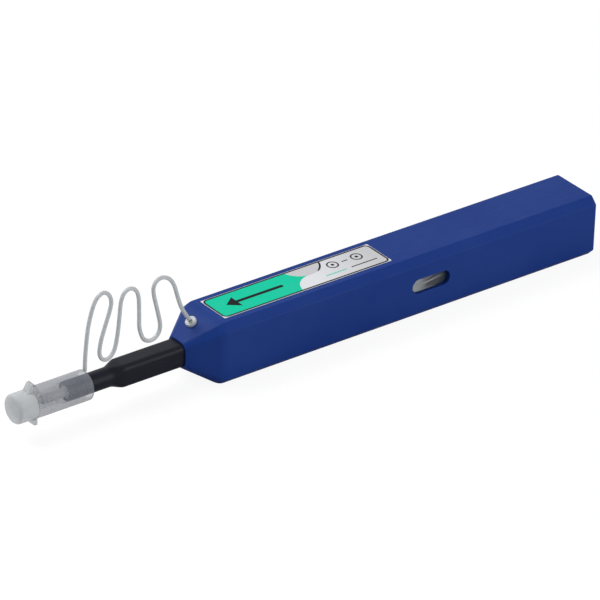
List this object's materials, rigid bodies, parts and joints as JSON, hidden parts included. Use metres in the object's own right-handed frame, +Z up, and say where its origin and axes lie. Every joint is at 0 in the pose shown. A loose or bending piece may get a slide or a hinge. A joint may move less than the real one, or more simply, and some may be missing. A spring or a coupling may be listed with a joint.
{
  "type": "fibre connector cleaning pen",
  "caption": "Square-section push-type cleaning pen for fibre optic connectors, with a stepped black nozzle, a tethered translucent guide cap with a hinged lid, and a printed label.",
  "frame": {"origin": "centre of the flat underside of the straight case, the face it lies on", "axes": "+X along the case towards its tail, -X towards the nozzle and cap, +Z up out of the labelled face, -Y out of the side with the lock button"},
  "size_m": [0.1825, 0.018, 0.0342],
  "materials": {
    "blue_plastic": "satin moulded",
    "label_film": "gloss printed film",
    "clear_elastomer": "frosted translucent",
    "grey_acetal": "satin moulded",
    "black_plastic": "satin moulded",
    "white_acetal": "satin moulded",
    "natural_acetal": "satin moulded",
    "spring_steel": "drawn wire",
    "pin_steel": "ground",
    "tube_steel": "drawn",
    "thread_fibre": "fine twisted fibre"
  },
  "bodies": {
    "case": {"case_shell": "blue_plastic", "rear_plug": "blue_plastic", "label": "label_film", "tether_anchor": "clear_elastomer", "tether": "clear_elastomer", "lock_leaf": "spring_steel"},
    "lock": {"lock_button": "grey_acetal"},
    "frame": {"slide_frame": "white_acetal", "take_up_pin": "pin_steel", "supply_pin": "pin_steel", "guide_pin": "pin_steel", "cam_pin": "pin_steel", "drag_leaf": "spring_steel", "main_spring": "spring_steel"},
    "nozzle_carriage": {"nozzle": "black_plastic", "carriage": "natural_acetal", "head_sleeve": "natural_acetal", "cleaning_thread": "thread_fibre"},
    "drive_shaft": {"drive_tube": "tube_steel", "cam_drum": "white_acetal", "head_spring": "spring_steel"},
    "tip_head": {"cleaning_head": "white_acetal"},
    "rack_pinion": {"pinion": "natural_acetal", "clutch_spring": "spring_steel"},
    "take_up": {"take_up_reel": "natural_acetal", "take_up_winding": "thread_fibre"},
    "supply": {"supply_reel": "natural_acetal", "supply_winding": "thread_fibre"},
    "cap": {"guide_cap": "clear_elastomer"},
    "lid": {"cap_lid": "clear_elastomer"}
  },
  "joints": [
    {"name": "nozzle_extension", "type": "slide", "parent": "case", "child": "frame", "axis": [-1, 0, 0], "range_m": [0, 0.03], "deforming": ["tether"]},
    {"name": "push_stroke", "type": "slide", "parent": "frame", "child": "nozzle_carriage", "axis": [1, 0, 0], "range_m": [0, 0.0065], "stiffness_N_per_m": 450, "springref_m": -0.006, "deforming": ["main_spring", "tether", "cleaning_thread"]},
    {"name": "shaft_turn", "type": "hinge", "parent": "nozzle_carriage", "child": "drive_shaft", "pos_m": [-0.0615, 0, 0.00885], "axis": [1, 0, 0], "range_deg": [0, 181], "deforming": ["cleaning_thread"]},
    {"name": "tip_press", "type": "slide", "parent": "drive_shaft", "child": "tip_head", "axis": [1, 0, 0], "range_m": [0, 0.0008], "stiffness_N_per_m": 300, "springref_m": -0.002, "deforming": ["head_spring", "cleaning_thread"]},
    {"name": "pinion_turn", "type": "hinge", "parent": "frame", "child": "rack_pinion", "pos_m": [0.0245, 0, 0.00885], "axis": [0, 1, 0], "range_deg": [-94, 0]},
    {"name": "take_up_turn", "type": "hinge", "parent": "frame", "child": "take_up", "pos_m": [0.0245, 0, 0.00885], "axis": [0, 1, 0], "range_deg": [-94, 0], "deforming": ["cleaning_thread"]},
    {"name": "supply_turn", "type": "hinge", "parent": "frame", "child": "supply", "pos_m": [0.0445, 0, 0.00885], "axis": [0, 1, 0], "range_deg": [-60, 0], "deforming": ["cleaning_thread"]},
    {"name": "lock_press", "type": "slide", "parent": "case", "child": "lock", "axis": [0, 1, 0], "range_m": [0, 0.001], "stiffness_N_per_m": 900, "springref_m": -0.001, "deforming": ["lock_leaf"]},
    {"name": "cap_pull", "type": "slide", "parent": "nozzle_carriage", "child": "cap", "axis": [-1, 0, 0], "range_m": [0, 0.024], "deforming": ["tether"]},
    {"name": "lid_hinge", "type": "hinge", "parent": "cap", "child": "lid", "pos_m": [-0.1155, 0, 0.01485], "axis": [0, 1, 0], "range_deg": [0, 120]}
  ],
  "couplings": [
    {"joint": "shaft_turn", "follows": "push_stroke", "rad_per_m": 483.32},
    {"joint": "pinion_turn", "follows": "push_stroke", "rad_per_m": -250},
    {"joint": "take_up_turn", "follows": "push_stroke", "rad_per_m": -250},
    {"joint": "supply_turn", "follows": "push_stroke", "rad_per_m": -157.61}
  ]
}
